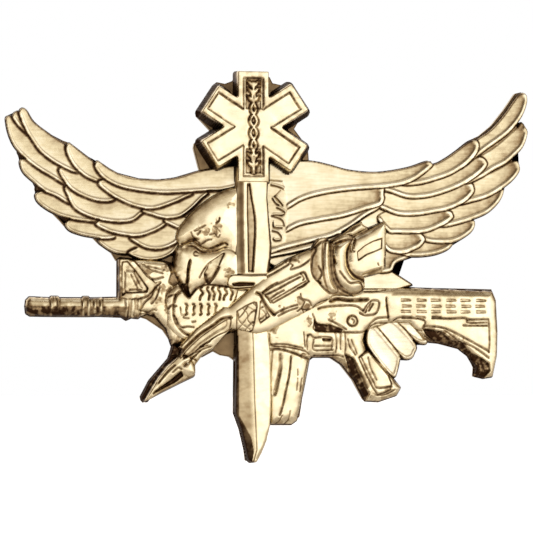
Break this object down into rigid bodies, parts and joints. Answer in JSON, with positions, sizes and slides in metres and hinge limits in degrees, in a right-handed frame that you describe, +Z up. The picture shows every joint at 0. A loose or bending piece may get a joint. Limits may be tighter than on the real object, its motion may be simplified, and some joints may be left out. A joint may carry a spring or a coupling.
{
  "type": "winged breast badge",
  "caption": "Upright winged pin badge of gold-plated struck metal with soldered posts and squeeze-release butterfly clutches.",
  "frame": {"origin": "on the base plate's flat back, at the middle of the badge's outline", "axes": "+X to the viewer's right along the wings, +Z up, +Y out of the back towards the wearer"},
  "size_m": [0.0696, 0.0138, 0.0513],
  "materials": {
    "polished_gold": "polished gold plate with dark recesses",
    "satin_gold": "brushed satin gold plate with dark recesses",
    "clutch_brass": "bright stamped brass"
  },
  "bodies": {
    "root": {"back_plate": "satin_gold", "tail_feathers": "satin_gold", "left_wing": "satin_gold", "right_wing": "satin_gold", "rifle": "polished_gold", "skull": "polished_gold", "dagger": "polished_gold", "star": "polished_gold", "lance": "polished_gold", "post_left": "clutch_brass", "post_right": "clutch_brass", "post_lower": "clutch_brass"},
    "clutch_left_slider": {"clutch_left_eyelet": "clutch_brass"},
    "clutch_left_turner": {"clutch_left_disc": "clutch_brass", "clutch_left_bridge": "clutch_brass"},
    "clutch_left_grip_a": {"clutch_left_jaw_a": "clutch_brass"},
    "clutch_left_grip_b": {"clutch_left_jaw_b": "clutch_brass"},
    "clutch_right_slider": {"clutch_right_eyelet": "clutch_brass"},
    "clutch_right_turner": {"clutch_right_disc": "clutch_brass", "clutch_right_bridge": "clutch_brass"},
    "clutch_right_grip_a": {"clutch_right_jaw_a": "clutch_brass"},
    "clutch_right_grip_b": {"clutch_right_jaw_b": "clutch_brass"},
    "clutch_lower_slider": {"clutch_lower_eyelet": "clutch_brass"},
    "clutch_lower_turner": {"clutch_lower_disc": "clutch_brass", "clutch_lower_bridge": "clutch_brass"},
    "clutch_lower_grip_a": {"clutch_lower_jaw_a": "clutch_brass"},
    "clutch_lower_grip_b": {"clutch_lower_jaw_b": "clutch_brass"}
  },
  "joints": [
    {"name": "clutch_left_slide", "type": "slide", "parent": "root", "child": "clutch_left_slider", "axis": [0, 1, 0], "range_m": [-0.0016, 0.0056]},
    {"name": "clutch_left_spin", "type": "hinge", "parent": "clutch_left_slider", "child": "clutch_left_turner", "pos_m": [-0.016, 0.0026, 0.0064], "axis": [0, 1, 0], "continuous": true},
    {"name": "clutch_left_squeeze_a", "type": "hinge", "parent": "clutch_left_turner", "child": "clutch_left_grip_a", "pos_m": [-0.0129, 0.00505, 0.0064], "axis": [0, 0, 1], "range_deg": [0, 10], "stiffness_Nm_per_rad": 0.001},
    {"name": "clutch_left_squeeze_b", "type": "hinge", "parent": "clutch_left_turner", "child": "clutch_left_grip_b", "pos_m": [-0.0191, 0.00505, 0.0064], "axis": [0, 0, 1], "range_deg": [-10, 0], "stiffness_Nm_per_rad": 0.001},
    {"name": "clutch_right_slide", "type": "slide", "parent": "root", "child": "clutch_right_slider", "axis": [0, 1, 0], "range_m": [-0.0016, 0.0056]},
    {"name": "clutch_right_spin", "type": "hinge", "parent": "clutch_right_slider", "child": "clutch_right_turner", "pos_m": [0.016, 0.0026, 0.0064], "axis": [0, 1, 0], "continuous": true},
    {"name": "clutch_right_squeeze_a", "type": "hinge", "parent": "clutch_right_turner", "child": "clutch_right_grip_a", "pos_m": [0.0191, 0.00505, 0.0064], "axis": [0, 0, 1], "range_deg": [0, 10], "stiffness_Nm_per_rad": 0.001},
    {"name": "clutch_right_squeeze_b", "type": "hinge", "parent": "clutch_right_turner", "child": "clutch_right_grip_b", "pos_m": [0.0129, 0.00505, 0.0064], "axis": [0, 0, 1], "range_deg": [-10, 0], "stiffness_Nm_per_rad": 0.001},
    {"name": "clutch_lower_slide", "type": "slide", "parent": "root", "child": "clutch_lower_slider", "axis": [0, 1, 0], "range_m": [-0.0016, 0.0056]},
    {"name": "clutch_lower_spin", "type": "hinge", "parent": "clutch_lower_slider", "child": "clutch_lower_turner", "pos_m": [0.0022, 0.0026, -0.0074], "axis": [0, 1, 0], "continuous": true},
    {"name": "clutch_lower_squeeze_a", "type": "hinge", "parent": "clutch_lower_turner", "child": "clutch_lower_grip_a", "pos_m": [0.0053, 0.00505, -0.0074], "axis": [0, 0, 1], "range_deg": [0, 10], "stiffness_Nm_per_rad": 0.001},
    {"name": "clutch_lower_squeeze_b", "type": "hinge", "parent": "clutch_lower_turner", "child": "clutch_lower_grip_b", "pos_m": [-0.0009, 0.00505, -0.0074], "axis": [0, 0, 1], "range_deg": [-10, 0], "stiffness_Nm_per_rad": 0.001}
  ],
  "couplings": [
    {"joint": "clutch_left_squeeze_b", "follows": "clutch_left_squeeze_a", "ratio": -1},
    {"joint": "clutch_right_squeeze_b", "follows": "clutch_right_squeeze_a", "ratio": -1},
    {"joint": "clutch_lower_squeeze_b", "follows": "clutch_lower_squeeze_a", "ratio": -1}
  ]
}
